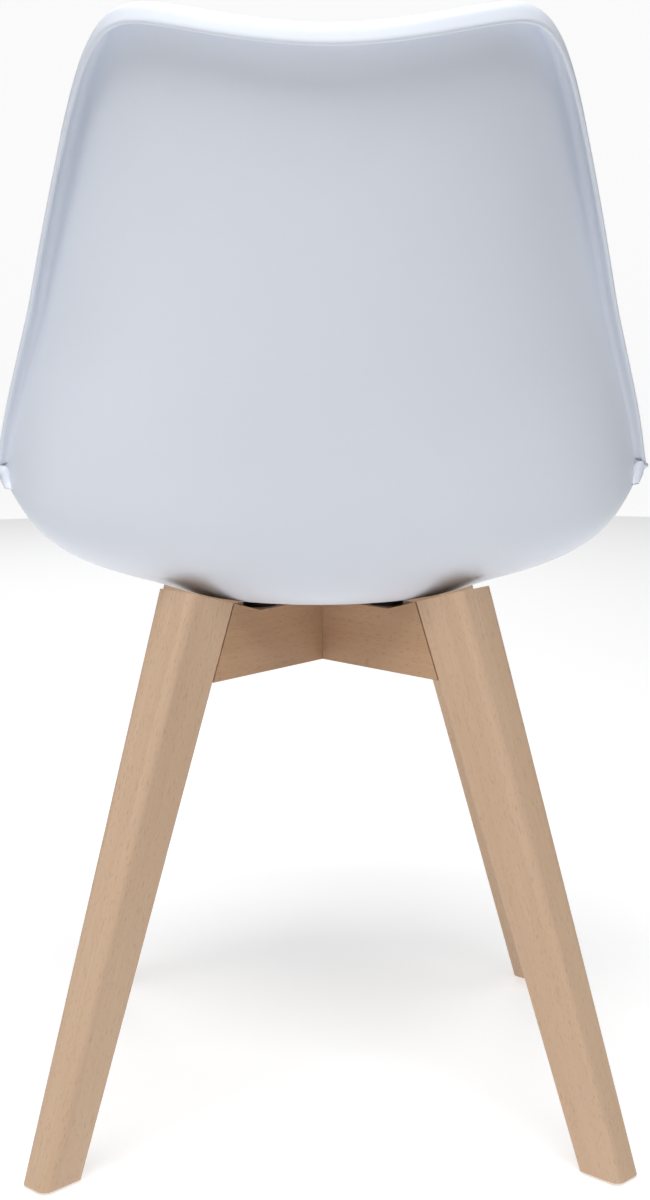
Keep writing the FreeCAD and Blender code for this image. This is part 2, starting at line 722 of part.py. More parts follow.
def cross_rail(label, turn, notch_from_top):
    """Rail between two opposite legs: a bevelled bar, half lapped, drilled and counterbored."""
    body = doc.addObject("PartDesign::Body", label)
    side = sketch_on(body, "side", "XZ_Plane")
    shoulder = "(%s - Sizes.joint_gap)" % inner_at(RAIL_BOTTOM)
    crest = "(%s - Sizes.joint_gap)" % inner_at("(%s + Sizes.crest_lift)" % RAIL_TOP)
    right = [(shoulder, RAIL_BOTTOM), (crest, slope_at(crest)), (RAIL_FLAT, RAIL_TOP)]
    left = [("-" + x, z) for x, z in reversed(right)]
    polygon(side, right + left)
    bar = body.newObject("PartDesign::Pad", "bar")
    bar.Profile = side
    bar.setExpression("Length", "Sizes.rail_thick")
    bar.Midplane = True
    doc.recompute()
    half = "(Sizes.rail_thick / 2 + Sizes.joint_gap)"
    sign = "-" if notch_from_top else "+"
    lap_level = "(%s + %s) / 2 %s Sizes.joint_gap / 2" % (RAIL_BOTTOM, RAIL_TOP, sign)
    lap = sketch_on(body, "lap", "XY_Plane", lap_level)
    rectangle(lap, "-" + half, half, "(Sizes.rail_thick)")
    pocket(body, "half_lap", lap, "(Sizes.rail_thick * 2)", backwards=notch_from_top)
    bolts = sketch_on(body, "bolt_places", "XY_Plane", RAIL_TOP)
    circles(bolts, [("-" + MOUNT, "0"), (MOUNT, "0"), ("0", "0")], HOLE)
    pocket(body, "bolt_holes", bolts, "(%s)" % RAIL_TOP)
    bore_places = [("-" + MOUNT, "0"), (MOUNT, "0")]
    if notch_from_top:
        bore_places.append(("0", "0"))
    bores = sketch_on(body, "bore_places", "XY_Plane", BORE_ROOF)
    circles(bores, bore_places, COUNTERBORE)
    pocket(body, "counterbores", bores, "(Sizes.counterbore_depth * 2)")
    if not notch_from_top:
        crown_floor = "(%s - Sizes.counterbore_depth)" % RAIL_TOP
        crown = sketch_on(body, "crown_place", "XY_Plane", crown_floor)
        circles(crown, [("0", "0")], COUNTERBORE)
        pocket(body, "crown_bore", crown, "(Sizes.counterbore_depth * 2)", backwards=True)
    for k, way in enumerate(("-", "")):
        depth = "%s(%s - %s)" % (way, JOINT_RADIUS, DOWEL_REACH)
        ends = sketch_on(body, "dowels_%d" % k, "YZ_Plane", depth)
        circles(ends, [("0", DOWEL_LOW), ("0", DOWEL_HIGH)], DOWEL_HOLE)
        pocket(body, "dowel_holes_%d" % k, ends, "(Sizes.dowel_length * 2)", backwards=(way == ""))
    body.Label = label
    body.Placement = placed(turn)
    return body


def bolt(name, bottom, top, head_below, out="0", turn=0.0):
    """Bolt with a round head and a hexagon socket; the head sits below or above the shank."""
    radius = "Sizes.bolt_diameter / 2"
    shank = cylinder(name + "_shank", radius, "%s - %s" % (top, bottom), bottom, out, turn)
    head_bottom = "%s - Sizes.bolt_head_height" % bottom if head_below else top
    head = cylinder(name + "_head", "Sizes.bolt_head_diameter / 2", "Sizes.bolt_head_height",
                    head_bottom, out, turn)
    low_end = "%s - Sizes.socket_depth" % head_bottom
    high_end = "%s + Sizes.bolt_head_height - Sizes.socket_depth" % head_bottom
    socket = hexagon(name + "_socket", "Sizes.socket_radius", "Sizes.socket_depth * 2",
                     low_end if head_below else high_end, out, turn)
    return cut(name, fuse(name, [shank, head]), [socket])


def ring(name, outer, inner, height, bottom, out="0", turn=0.0):
    """Flat ring: a washer or a spacer."""
    disc = cylinder(name + "_disc", outer, height, bottom, out, turn)
    eye = cylinder(name + "_eye", inner, "%s * 3" % height, "%s - %s" % (bottom, height), out, turn)
    return cut(name, disc, [eye])


# ------------------------------------------------------------------------------ assembly
def shell_object():
    """Shell with its four bosses, and holes for the inserts and the pad's screws."""
    skin = doc.addObject("Part::Feature", "shell_skin")
    skin.Shape = seat_shell_shape()
    bosses, holes = [], []
    hole_low = "%s - Sizes.wall" % BOSS_LOW
    for corner, turn in DIAGONALS.items():
        bosses.append(cylinder("boss_" + corner, "Sizes.boss_diameter / 2",
                               "Sizes.boss_drop + Sizes.boss_sink", BOSS_LOW, MOUNT, turn))
        holes.append(cylinder("insert_hole_" + corner, INSERT_HOLE, "Sizes.boss_diameter",
                              hole_low, MOUNT, turn))
        holes.append(cylinder("pad_screw_hole_" + corner, PAD_SCREW_HOLE, "Sizes.wall * 4",
                              hole_low, "(Sizes.pad_screw_radius)", turn + BETWEEN_LEGS))
    return named(cut("shell", fuse("shell", [skin] + bosses), holes), "seat_shell")


def pad_objects():
    """Board, foam and cover of the padded seat, and the screws that hold the board."""
    board = doc.addObject("Part::Feature", "board_blank")
    board.Shape = pad_layer_shape(lambda p, q: BOARD_LOW, lambda p, q: BOARD_HIGH)
    pilot_holes, screws = [], []
    out, head_top = "(Sizes.pad_screw_radius)", "(Sizes.base_height)"
    reach = "(Sizes.wall + Sizes.pad_gap + Sizes.board_thick)"
    for corner, turn in DIAGONALS.items():
        name, side = "pad_screw_" + corner, turn + BETWEEN_LEGS
        pilot_holes.append(cylinder(name + "_pilot", PAD_SCREW_HOLE, reach + " * 2", head_top,
                                    out, side))
        shank = cylinder(name + "_shank", "Sizes.pad_screw_diameter / 2",
                         reach + " + Sizes.pad_screw_head_height / 2",
                         head_top + " - Sizes.pad_screw_head_height / 2", out, side)
        head = cylinder(name + "_head", "Sizes.pad_screw_head / 2", "Sizes.pad_screw_head_height",
                        head_top + " - Sizes.pad_screw_head_height", out, side)
        screws.append(fuse(name, [shank, head]))
    named(cut("board", board, pilot_holes), "seat_pad_board")
    feature("seat_pad_foam", pad_layer_shape(lambda p, q: FOAM_LOW, foam_high))
    feature("seat_pad_cover", pad_layer_shape(cover_low, cover_high))
    group("seat_pad_screws", screws)


def frame_objects():
    """Legs, rails, dowels, and the bolt that holds the two rails together."""
    cross_rail("cross_rail_lower", DIAGONALS["rear_right"], True)
    cross_rail("cross_rail_upper", DIAGONALS["rear_left"], False)
    dowels = []
    start = "(%s - Sizes.dowel_length / 2)" % JOINT_RADIUS
    for corner, turn in DIAGONALS.items():
        leg(corner, turn)
        for level, height in (("low", DOWEL_LOW), ("high", DOWEL_HIGH)):
            dowel = doc.addObject("Part::Cylinder", "dowel_%s_%s" % (corner, level))
            dowel.setExpression("Radius", "Sizes.dowel_diameter / 2")
            dowel.setExpression("Height", "Sizes.dowel_length")
            dowel.Placement = Placement(Vector(), Rotation(Vector(0, 0, 1), turn)
                                        * Rotation(Vector(0, 1, 0), 90.0))
            stand_at(dowel, start, turn, height)
            dowels.append(dowel)
    group("leg_dowels", dowels)
    upper_seat = "(%s - Sizes.counterbore_depth)" % RAIL_TOP
    under_head = "(%s + Sizes.washer_thick)" % upper_seat
    nut_low = "(%s - Sizes.nut_height)" % HEAD_TOP
    named(bolt("cross_bolt", nut_low, under_head, False), "cross_bolt")
    washers = [ring("cross_washer_%d" % k, "Sizes.washer_diameter / 2", HOLE,
                    "Sizes.washer_thick", level) for k, level in enumerate((upper_seat, HEAD_TOP))]
    group("cross_washers", washers)
    nut = hexagon("cross_nut_blank", "Sizes.bolt_head_diameter / 2", "Sizes.nut_height", nut_low)
    thread = cylinder("cross_nut_thread", "Sizes.bolt_diameter / 2 + Sizes.close_clearance",
                      "Sizes.nut_height * 3", "%s - Sizes.nut_height" % nut_low)
    named(cut("cross_nut", nut, [thread]), "cross_nut")


def mounting_objects():
    """Spacers, inserts, bolts and washers between the frame and the shell."""
    bolts, washers, inserts = [], [], []
    shank_top = "(%s + Sizes.insert_height)" % BOSS_LOW
    for corner, turn in DIAGONALS.items():
        spacer = ring("spacer_%s_ring" % corner, "Sizes.spacer_diameter / 2", HOLE,
                      "Sizes.spacer_thick", RAIL_TOP, MOUNT, turn)
        named(spacer, "spacer_" + corner)
        inserts.append(ring("insert_" + corner, "Sizes.insert_diameter / 2",
                            "(Sizes.bolt_diameter / 2 + Sizes.close_clearance)",
                            "Sizes.insert_height", BOSS_LOW, MOUNT, turn))
        bolts.append(bolt("shell_bolt_" + corner, HEAD_TOP, shank_top, True, MOUNT, turn))
        washers.append(ring("shell_washer_" + corner, "Sizes.washer_diameter / 2", HOLE,
                            "Sizes.washer_thick", HEAD_TOP, MOUNT, turn))
    group("shell_inserts", inserts)
    group("shell_bolts", bolts)
    group("shell_washers", washers)


def glide_objects():
    """Glides under the feet and the nails that hold them."""
    nails = []
    for corner, turn in DIAGONALS.items():
        glide = ring("glide_%s_ring" % corner, "Sizes.glide_diameter / 2",
                     "(Sizes.nail_diameter / 2 + Sizes.close_clearance)", "Sizes.glide_thick",
                     "0", FOOT_MIDDLE, turn)
        named(glide, "foot_glide_" + corner)
        nails.append(cylinder("nail_" + corner, "Sizes.nail_diameter / 2",
                              "Sizes.nail_length - Sizes.nail_recess", "Sizes.nail_recess",
                              FOOT_MIDDLE, turn))
    group("glide_nails", nails)


NODES = ["seat_shell", "seat_pad_board", "seat_pad_foam", "seat_pad_cover", "seat_pad_screws",
         "cross_rail_lower", "cross_rail_upper", "leg_dowels", "cross_bolt", "cross_washers",
         "cross_nut", "shell_inserts", "shell_bolts", "shell_washers", "glide_nails"]
for quarter in DIAGONALS:
    NODES += ["leg_" + quarter, "spacer_" + quarter, "foot_glide_" + quarter]

shell_object()
pad_objects()
frame_objects()
mounting_objects()
glide_objects()
doc.recompute()

for made in doc.Objects:
    if "Invalid" in made.State or "Error" in made.State:
        raise ValueError("%s failed: %s" % (made.Label, made.State))
for label in NODES:
    made = doc.getObjectsByLabel(label)[0]
    if made.Shape.isNull() or not made.Shape.isValid():
        raise ValueError("%s has no valid shape" % label)
    made.Shape.exportStep("parts/%s.step" % label)
    print("%-22s %2d solids %10.0f mm3" % (label, len(made.Shape.Solids), made.Shape.Volume))
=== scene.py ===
"""Looks of the dining chair: satin shell with a turned rim, padded seat, oiled beech frame.

Lengths are in metres, in the frame's own axes: the chair faces -Y and stands on z = 0.
"""

import math

import bpy
import numpy as np
from mathutils import Matrix, Vector


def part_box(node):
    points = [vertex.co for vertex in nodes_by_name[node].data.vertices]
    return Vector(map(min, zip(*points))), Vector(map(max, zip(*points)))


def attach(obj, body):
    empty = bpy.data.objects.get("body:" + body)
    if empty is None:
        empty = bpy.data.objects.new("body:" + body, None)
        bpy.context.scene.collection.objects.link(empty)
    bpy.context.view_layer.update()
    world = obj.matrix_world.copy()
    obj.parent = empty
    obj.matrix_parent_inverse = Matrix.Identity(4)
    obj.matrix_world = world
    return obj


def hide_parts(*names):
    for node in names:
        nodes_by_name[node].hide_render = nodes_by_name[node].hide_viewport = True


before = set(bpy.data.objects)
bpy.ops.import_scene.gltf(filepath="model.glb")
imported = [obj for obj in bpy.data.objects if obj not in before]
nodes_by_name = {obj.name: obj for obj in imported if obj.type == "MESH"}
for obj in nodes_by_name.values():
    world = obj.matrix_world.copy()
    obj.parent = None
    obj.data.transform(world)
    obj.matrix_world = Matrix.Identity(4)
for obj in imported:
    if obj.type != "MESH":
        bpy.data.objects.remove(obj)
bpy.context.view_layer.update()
MM = 0.001


# ------------------------------------------------------------------------- plain helpers
def ease(ratio):
    """Smooth step with level ends: r squared times (3 - 2 r), r held between 0 and 1."""
    ratio = np.clip(ratio, 0.0, 1.0)
    return ratio * ratio * (3.0 - 2.0 * ratio)


def end_slope(near, far, near_rise, far_rise):
    """Slope at the end of a monotone curve, from its two nearest spans.

    It is the three-point slope, set to nought or to three times the nearest rise where it
    would overshoot.
    """
    slope = ((2.0 * near + far) * near_rise - near * far_rise) / (near + far)
    if slope * near_rise <= 0.0:
        return 0.0
    if near_rise * far_rise <= 0.0 and abs(slope) > 3.0 * abs(near_rise):
        return 3.0 * near_rise
    return slope


def smooth_through(stations, values):
    """Array function of position: the monotone cubic through the values at the stations.

    A station's slope is the weighted harmonic mean of the rises beside it, or nought where
    the curve turns.
    """
    stations = np.asarray(stations, float)
    values = np.asarray(values, float)
    spans = np.diff(stations)
    rises = np.diff(values) / spans
    slopes = [end_slope(spans[0], spans[1], rises[0], rises[1])]
    for k in range(1, len(spans)):
        before = 2.0 * spans[k] + spans[k - 1]
        after = spans[k] + 2.0 * spans[k - 1]
        if rises[k - 1] * rises[k] <= 0.0:
            slopes.append(0.0)
        else:
            slopes.append((before + after) / (before / rises[k - 1] + after / rises[k]))
    slopes.append(end_slope(spans[-1], spans[-2], rises[-1], rises[-2]))
    slopes = np.asarray(slopes)

    def at(position):
        """Value at a position, held at the first and last stations."""
        position = np.clip(position, stations[0], stations[-1])
        k = np.clip(np.searchsorted(stations, position, side="right") - 1, 0, len(spans) - 1)
        t = (position - stations[k]) / spans[k]
        lead = t * (1.0 - t) ** 2 * slopes[k] * spans[k]
        trail = t * t * (1.0 - t) * slopes[k + 1] * spans[k]
        return values[k] + (values[k + 1] - values[k]) * ease(t) + lead - trail

    return at


# ---------------------------------------------------------------------- the shell's sheet
BASE_HEIGHT = 404.5
FRONT, BACK = 284.0, 534.5
BEND_START, BEND_LENGTH, BEND_ANGLE, BACK_CURL = 35.0, 158.0, 72.9, 1.0
RISE_START, RISE_LENGTH, RISE_ANGLE = 15.0, 115.0, 16.0
FALL_START, FALL_LENGTH, FALL_ANGLE = 215.0, 80.0, 34.0
SEAT_STATION, EAR_WIDTH, EAR_BOWL, BACK_WIDTH, BACK_BOWL = 110.0, 141.0, 168.0, 324.0, 380.0
HALF_SEAT = 233.0
half_width = smooth_through([-FRONT, -SEAT_STATION, EAR_WIDTH, BACK_WIDTH, BACK],
                            [205.0, HALF_SEAT, 242.0, 199.5, 149.5])
bowl_rise = smooth_through([-FRONT, -SEAT_STATION, EAR_BOWL, BACK_BOWL, BACK],
                           [12.0, 61.5, 50.0, 68.0, 54.5])
edge_rise = smooth_through([-FRONT, -SEAT_STATION, EAR_BOWL, BACK_BOWL, BACK],
                           [4.0, 28.5, 49.0, 18.5, 10.5])
EDGE_POWER_SEAT, EDGE_POWER_BACK = 11.0, 5.0
OUTLINE_MIDDLE, CORNER_FRONT, CORNER_TOP = 60.0, 5.0, 12.5
TOP_DIP, DIP_WIDTH = 10.0, 91.0
FLAT_RADIUS, FLAT_BLEND = 60.0, 150.0
POWER_LEAD, POWER_BLEND = 25.0, 160.0
WALL = 4.0
LIP_RADIUS, LIP_TURN, LIP_TAIL = (2.5, 4.7), (95.0, 146.0), (2.0, 7.0)


def line_angle(along):
    """Angle of the centre line above the floor, in radians, at a length along it."""
    bend_end = BEND_START + BEND_LENGTH
    angle = BEND_ANGLE * ease((along - BEND_START) / BEND_LENGTH)
    angle = angle + BACK_CURL * ease((along - bend_end) / (BACK - bend_end))
    angle = angle - RISE_ANGLE * ease((-along - RISE_START) / RISE_LENGTH)
    angle = angle + FALL_ANGLE * ease((-along - FALL_START) / FALL_LENGTH)
    return np.radians(angle)


MARKS = np.arange(-FRONT - 60.0, BACK + 60.0, 0.5)
MID_ANGLES = line_angle(MARKS[:-1] + 0.25)
LINE_Y = np.concatenate([[0.0], np.cumsum(0.5 * np.cos(MID_ANGLES))])
LINE_Z = np.concatenate([[0.0], np.cumsum(0.5 * np.sin(MID_ANGLES))])
LINE_Y = LINE_Y - np.interp(0.0, MARKS, LINE_Y)
LINE_Z = LINE_Z - np.interp(0.0, MARKS, LINE_Z) + BASE_HEIGHT


def sheet_point(x, along):
    """Points of the sheet, in millimetres about the bolt cross.

    A point is the centre line's point raised along the line's normal by
    bowl u^2 + edge u^power, with u = x / half width, and it is level near the middle.
    """
    x, along = np.broadcast_arrays(np.asarray(x, float), np.asarray(along, float))
    u = np.abs(x) / half_width(along)
    share_of_back = ease((along - EAR_BOWL + POWER_LEAD) / POWER_BLEND)
    power = EDGE_POWER_SEAT + (EDGE_POWER_BACK - EDGE_POWER_SEAT) * share_of_back
    rise = bowl_rise(along) * u ** 2 + edge_rise(along) * u ** power
    angle = line_angle(along)
    y = np.interp(along, MARKS, LINE_Y) - rise * np.sin(angle)
    z = np.interp(along, MARKS, LINE_Z) + rise * np.cos(angle)
    share = ease((np.hypot(x, along) - FLAT_RADIUS) / (FLAT_BLEND - FLAT_RADIUS))
    y = along + (y - along) * share
    z = BASE_HEIGHT + (z - BASE_HEIGHT) * share
    return np.stack([x, y, z], axis=-1)


def unit(vectors):
    """Vectors divided by their lengths."""
    return vectors / np.linalg.norm(vectors, axis=-1, keepdims=True)


def sheet_normal(x, along):
    """Unit normals of the sheet on the sitter's side, from central differences."""
    tiny = 0.5
    across = sheet_point(x + tiny, along) - sheet_point(x - tiny, along)
    up = sheet_point(x, along + tiny) - sheet_point(x, along - tiny)
    return unit(np.cross(across, up))


def squircle(p, q, power):
    """Points of the square from -1 to 1 moved onto a rounded square of that power.

    Each coordinate is scaled by (1 - |other|^power / 2)^(1 / power).
    """
    x = p * (1.0 - 0.5 * np.abs(q) ** power) ** (1.0 / power)
    y = q * (1.0 - 0.5 * np.abs(p) ** power) ** (1.0 / power)
    return x, y


def shell_place(p, q):
    """Places (x, along) on the shell's sheet for p and q from -1 to 1.

    The rounded square is stretched to the sheet's length and to its half width there, and
    the top edge dips by a bell curve across.
    """
    power = np.where(q < 0.0, CORNER_FRONT, CORNER_TOP)
    reach = np.where(q < 0.0, FRONT + OUTLINE_MIDDLE, BACK - OUTLINE_MIDDLE)
    across, lengthways = squircle(p, q, power)
    along = OUTLINE_MIDDLE + reach * lengthways
    x = half_width(along) * across
    dip = TOP_DIP * np.exp(-((x / DIP_WIDTH) ** 2)) * np.clip(lengthways, 0.0, 1.0) ** 6
    return x, along - dip


BOLT_LOW, BOLT_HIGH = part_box("cross_bolt")
CENTRE_SHIFT = 1000.0 * (BOLT_LOW[1] + BOLT_HIGH[1]) / 2.0


def in_frame(points):
    """Millimetres about the bolt cross to metres in the frame."""
    return (np.asarray(points) + np.array([0.0, CENTRE_SHIFT, 0.0])) * MM


# --------------------------------------------------------------------------- mesh helpers
def mesh_object(name, points, faces):
    """Smooth-shaded object of a mesh given by points and by faces as rows of indices."""
    mesh = bpy.data.meshes.new(name)
    mesh.from_pydata([tuple(p) for p in points.tolist()], [], [tuple(f) for f in faces.tolist()])
    mesh.update()
    mesh.polygons.foreach_set("use_smooth", np.ones(len(mesh.polygons), bool))
    made = bpy.data.objects.new(name, mesh)
    bpy.context.scene.collection.objects.link(made)
    return made


def grid_faces(rows, columns, start=0, closed=False, flip=False):
    """Quads of a grid of points numbered row by row.

    closed joins the last column to the first, and flip turns the quads over.
    """
    last = columns if closed else columns - 1
    i, j = np.meshgrid(np.arange(rows - 1), np.arange(last), indexing="ij")
    i, j = i.ravel(), j.ravel()
    ahead = (j + 1) % columns
    quads = np.stack([i * columns + j, i * columns + ahead,
                      (i + 1) * columns + ahead, (i + 1) * columns + j], axis=1) + start
    return quads[:, ::-1] if flip else quads


def rim_loop(side):
    """Indices round the border of a square grid, once, anticlockwise from its first corner."""
    n = side - 1
    k = np.arange(n)
    return np.concatenate([k, k * side + n, n * side + n - k, (n - k) * side])


def two_skins(side, loop, rings):
    """Quads of two square grids of points, and of the rings that join their borders.

    The points are the low grid, the high grid, then the rings one after another, each as
    long as the border.
    """
    count, girth = side * side, len(loop)
    faces = [grid_faces(side, side, 0, flip=True), grid_faces(side, side, count)]
    rows = [2 * count + k * girth + np.arange(girth) for k in range(rings)]
    rows = [loop] + rows + [loop + count]
    for first, second in zip(rows, rows[1:]):
        faces.append(np.stack([first, np.roll(first, -1), np.roll(second, -1), second], axis=1))
    return np.concatenate(faces)


def facing_out(made):
    """Turns the faces of a closed mesh outwards, if its volume comes out negative.

    Six times the volume is the sum of a . (b x c) over the triangles a, b, c.
    """
    mesh = made.data
    mesh.calc_loop_triangles()
    corners = np.empty(len(mesh.vertices) * 3)
    mesh.vertices.foreach_get("co", corners)
    corners = corners.reshape(-1, 3)
    triangles = np.empty(len(mesh.loop_triangles) * 3, int)
    mesh.loop_triangles.foreach_get("vertices", triangles)
    a, b, c = (corners[triangles.reshape(-1, 3)[:, k]] for k in range(3))
    if np.einsum("ij,ij->", a, np.cross(b, c)) < 0.0:
        mesh.flip_normals()
    return made


def even(count):
    """Numbers from -1 to 1 in equal steps."""
    return np.linspace(-1.0, 1.0, count)


# ------------------------------------------------------------------------------ the shell
SHELL_SIDE = 121
SINE_SHARE = 0.45
LIP_ARC = 12
END_ARC = 5
TAIL_PARTS = (0.35, 0.7, 1.0)
LIP_BLEND_LEAD, LIP_BLEND_ROOM = 10.0, 60.0


def shell_grid():
    """Places, points and normals of the sheet on a square grid, closer together at the rim."""
    t = even(SHELL_SIDE)
    # a blend of even and sine spacing keeps both the bend and the rim fine
    near = (1.0 - SINE_SHARE) * t + SINE_SHARE * np.sin(np.pi / 2.0 * t)
    q, p = np.meshgrid(near, near, indexing="ij")
    x, along = shell_place(p, q)
    return x, along, sheet_point(x, along), sheet_normal(x, along)


def rim_frame(points, normals, x, along):
    """Outward directions round the rim, square to the sheet's normal and to the rim itself."""
    ahead = np.roll(points, -1, axis=0) - np.roll(points, 1, axis=0)
    outward = unit(np.cross(unit(ahead), normals))
    middle = sheet_point(x * 0.99, OUTLINE_MIDDLE + (along - OUTLINE_MIDDLE) * 0.99)
    inwards = np.einsum("ij,ij->i", outward, points - middle) < 0.0
    outward[inwards] *= -1.0
    return outward


def shell_mesh():
    """The shell: both faces of the sheet, joined round the rim by the turned lip.

    Round the rim the section is the wall carried outwards about a small radius, through the
    lip's turn, then straight on for its tail, and closed by a half round as thick as the wall.
    """
    x, along, low, normal = shell_grid()
    high = low + normal * WALL
    loop = rim_loop(SHELL_SIDE)
    rim_x, rim_along = x.ravel()[loop], along.ravel()[loop]
    edge, up = low.reshape(-1, 3)[loop], normal.reshape(-1, 3)[loop]
    out = rim_frame(edge, up, rim_x, rim_along)
    blend_start = EAR_WIDTH - LIP_BLEND_LEAD
    share = ease((rim_along - blend_start) / (BACK - LIP_BLEND_ROOM - blend_start))[:, None]
    radius, turn, tail = (lo + (hi - lo) * share for lo, hi in (LIP_RADIUS, LIP_TURN, LIP_TAIL))
    turn = np.radians(turn)

    def section(angle, offset, ahead=0.0):
        """Ring at an angle of the turn, offset through the wall and carried on ahead."""
        place = edge + out * radius * np.sin(angle) - up * radius * (1.0 - np.cos(angle))
        facing = up * np.cos(angle) + out * np.sin(angle)
        onward = out * np.cos(angle) - up * np.sin(angle)
        return place + facing * offset + onward * ahead

    steps = np.linspace(0.0, 1.0, LIP_ARC + 1)[1:]
    rings = [section(turn * step, 0.0) for step in steps]
    rings += [section(turn, 0.0, tail * part) for part in TAIL_PARTS]
    for part in np.linspace(-0.5, 0.5, END_ARC + 2)[1:-1]:
        bulge = 0.5 * WALL * np.cos(np.pi * part)
        rings.append(section(turn, 0.5 * WALL * (1.0 + np.sin(np.pi * part)), tail + bulge))
    rings += [section(turn, WALL, tail * part) for part in TAIL_PARTS[::-1]]
    rings += [section(turn * step, WALL) for step in steps[::-1]]
    body = np.concatenate([low.reshape(-1, 3), high.reshape(-1, 3)] + rings)
    faces = two_skins(SHELL_SIDE, loop, len(rings))
    return facing_out(mesh_object("bucket_shell", in_frame(body), faces))


DIAGONALS = {"rear_right": 45.0, "rear_left": 135.0, "front_left": 225.0, "front_right": 315.0}
BOLT_RADIUS = 69.0


def bolt_place(corner):
    """Foot of a bolt's axis at the shell's lowest level, about the bolt cross."""
    turn = math.radians(DIAGONALS[corner])
    return np.array([BOLT_RADIUS * math.cos(turn), BOLT_RADIUS * math.sin(turn), BASE_HEIGHT])


BOSS_RADIUS, BOSS_BORE = 17.0, 6.2
BOSS_DROP, BOSS_SINK = 0.6, 3.4
BOSS_ROUND, BOSS_ROUND_STEP = 1.0, 0.3
BOSS_AROUND = 48


def boss_mesh():
    """Four round bosses under the shell, one per bolt: a drum with a rounded foot.

    A boss is a profile of radius against height, turned about its bolt. It starts at the
    bolt's bore, hangs below the sheet by its drop and ends inside the shell's wall.
    """
    radius = np.array([BOSS_BORE, BOSS_RADIUS - BOSS_ROUND, BOSS_RADIUS - BOSS_ROUND_STEP,
                       BOSS_RADIUS, BOSS_RADIUS])
    height = np.array([-BOSS_DROP, -BOSS_DROP, -BOSS_DROP + BOSS_ROUND_STEP,
                       -BOSS_DROP + BOSS_ROUND, BOSS_SINK])
    turn = np.linspace(0.0, 2.0 * np.pi, BOSS_AROUND, endpoint=False)
    pieces, faces = [], []
    for corner in DIAGONALS:
        axis = bolt_place(corner)
        ring = np.stack([np.cos(turn), np.sin(turn)], axis=1)
        flat = axis[:2] + radius[:, None, None] * ring[None, :, :]
        lift = np.broadcast_to(BASE_HEIGHT + height[:, None, None], flat.shape[:2] + (1,))
        start = len(pieces) * len(radius) * BOSS_AROUND
        faces.append(grid_faces(len(radius), BOSS_AROUND, start, closed=True, flip=True))
        pieces.append(np.concatenate([flat, lift], axis=2).reshape(-1, 3))
    return mesh_object("shell_bosses", in_frame(np.concatenate(pieces)), np.concatenate(faces))


# -------------------------------------------------------------------------- the seat pad
PAD_FRONT, PAD_BACK, PAD_HALF, PAD_CORNER = 262.0, 112.0, 198.0, 3.4
PAD_LOW, PAD_THICK, PAD_EDGE = 8.4, 36.0, 12.0
PAD_SIDE = 97
PAD_SWELL, SWELL_POWER, PAD_RINGS = 4.0, 0.8, 8
PUCKER_HEIGHT, PUCKER_REACH, PUCKER_COUNT, PUCKER_WAVES = 0.9, 0.10, 46.0, 7.0
PIPING_RADIUS, PIPING_AROUND, PIPING_PART, PIPING_STAND = 1.9, 12, 0.55, 0.7


def pad_place(p, q):
    """Places (x, along) on the sheet for points of the seat pad.

    The rounded square is stretched to the pad's length, and across in proportion to the
    shell's half width there.
    """
    across, lengthways = squircle(p, q, PAD_CORNER)
    along = (PAD_BACK - PAD_FRONT) / 2.0 + (PAD_BACK + PAD_FRONT) / 2.0 * lengthways
    return PAD_HALF * across * half_width(along) / HALF_SEAT, along


def pad_rim():
    """Round the pad: points of the sheet, its normals, and directions out of the pad.

    A direction out is the reach from the pad's centre less its part along the normal.
    """
    t = np.sin(np.pi / 2.0 * even(PAD_SIDE))
    q, p = np.meshgrid(t, t, indexing="ij")
    loop = rim_loop(PAD_SIDE)
    x, along = pad_place(p.ravel()[loop], q.ravel()[loop])
    edge, up = sheet_point(x, along), sheet_normal(x, along)
    centre = sheet_point(0.0, (PAD_BACK - PAD_FRONT) / 2.0)
    reach = edge - centre
    return edge, up, unit(reach - up * np.einsum("ij,ij->i", reach, up)[:, None])


def side_swell(part):
    """How far the pad's side stands out: swell times sin(pi part)^power, for parts 0 to 1."""
    return PAD_SWELL * math.sin(math.pi * part) ** SWELL_POWER


def pad_mesh():
    """Closed skin of the pad over the sheet: a crowned top over a short rounded side.

    Above the sheet the top lies at edge + crown (1 - p^4)(1 - q^4), with p and q from -1 to 1,
    and puckers run in from the seam that fade inwards.
    """
    t = np.sin(np.pi / 2.0 * even(PAD_SIDE))
    q, p = np.meshgrid(t, t, indexing="ij")
    x, along = pad_place(p, q)
    base, normal = sheet_point(x, along), sheet_normal(x, along)
    crown = (1.0 - p ** 4) * (1.0 - q ** 4)
    reach = np.maximum(np.abs(p), np.abs(q))
    fade = np.exp(-(((1.0 - reach) / PUCKER_REACH) ** 2)) * (1.0 - reach ** 12)
    waves = 0.7 + 0.3 * np.sin(PUCKER_WAVES * np.arctan2(p, q))
    puckers = PUCKER_HEIGHT * fade * np.sin(PUCKER_COUNT * np.arctan2(q, p)) * waves
    lift = PAD_LOW + PAD_EDGE + (PAD_THICK - PAD_EDGE) * crown ** 0.8 + puckers
    top = base + normal * lift[..., None]
    low = base + normal * PAD_LOW
    edge, up, out = pad_rim()
    rings = [edge + up * (PAD_LOW + PAD_EDGE * part) + out * side_swell(part)
             for part in np.linspace(0.0, 1.0, PAD_RINGS + 2)[1:-1]]
    points = np.concatenate([low.reshape(-1, 3), top.reshape(-1, 3)] + rings)
    faces = two_skins(PAD_SIDE, rim_loop(PAD_SIDE), len(rings))
    return facing_out(mesh_object("seat_pad", in_frame(points), faces))


